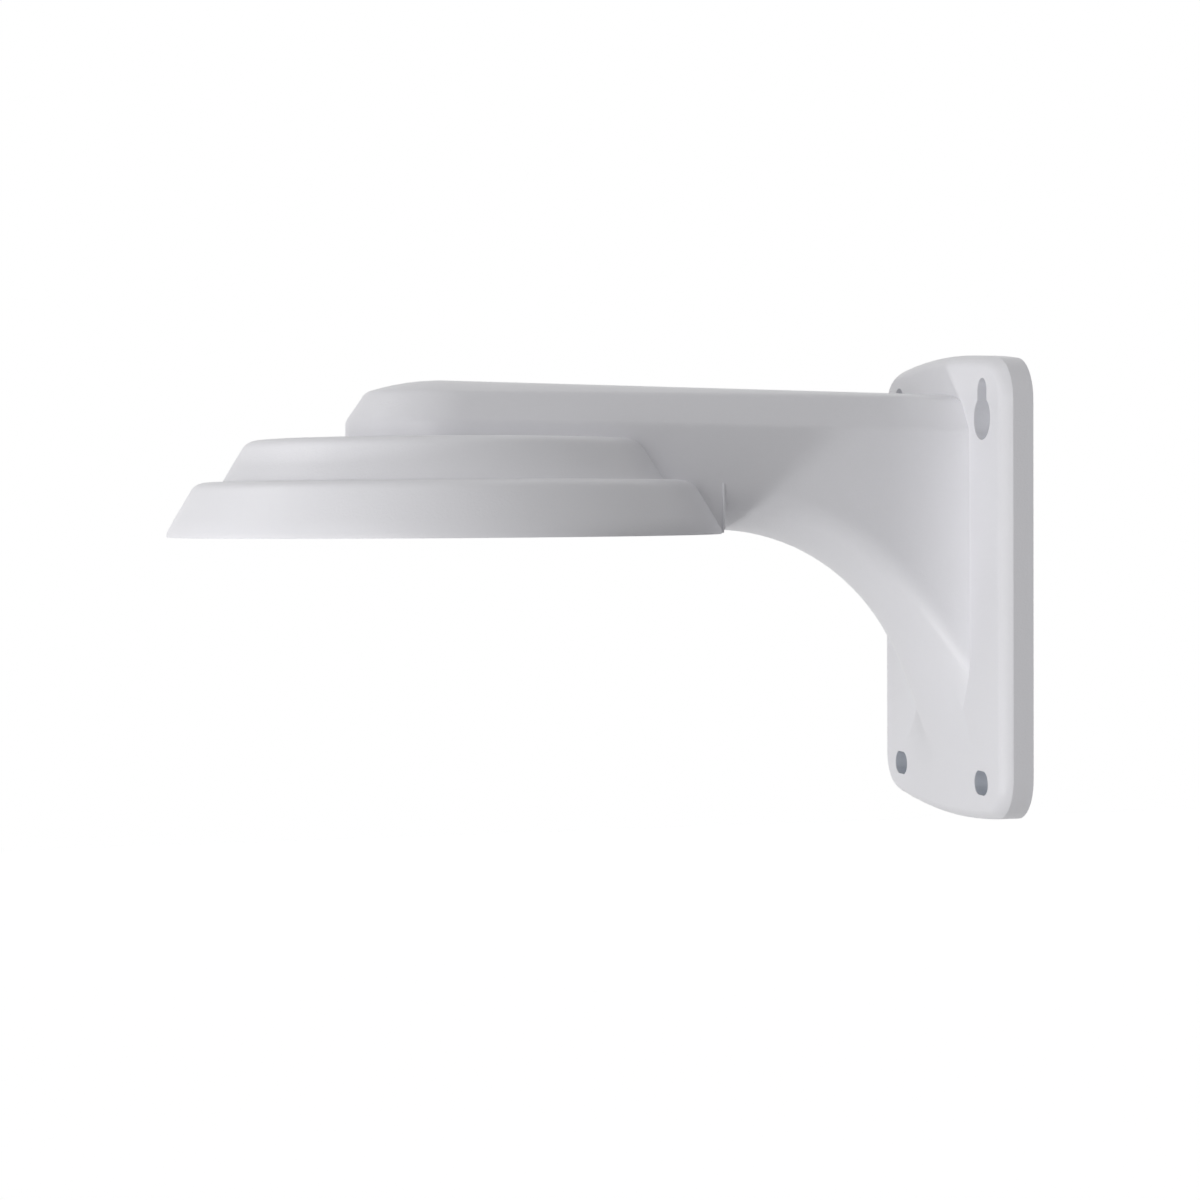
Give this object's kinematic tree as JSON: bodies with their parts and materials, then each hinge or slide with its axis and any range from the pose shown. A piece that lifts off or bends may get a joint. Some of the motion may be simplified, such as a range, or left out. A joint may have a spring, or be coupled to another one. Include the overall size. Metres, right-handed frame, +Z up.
{
  "type": "wall bracket",
  "caption": "Cast arm bracket that holds a round dome camera under a stepped cap and is screwed to a wall by keyholes and slots in an arched plate.",
  "frame": {"origin": "middle of the wall plate's back face, on the wall's plane", "axes": "+Y points into the wall, the arm reaches out along -Y, +Z is up, +X is across the plate"},
  "size_m": [0.14, 0.2115, 0.1212],
  "materials": {
    "white_powder_coat": "satin white powder coat with a very fine texture"
  },
  "bodies": {
    "root": {"bracket_casting": "white_powder_coat"}
  },
  "joints": []
}
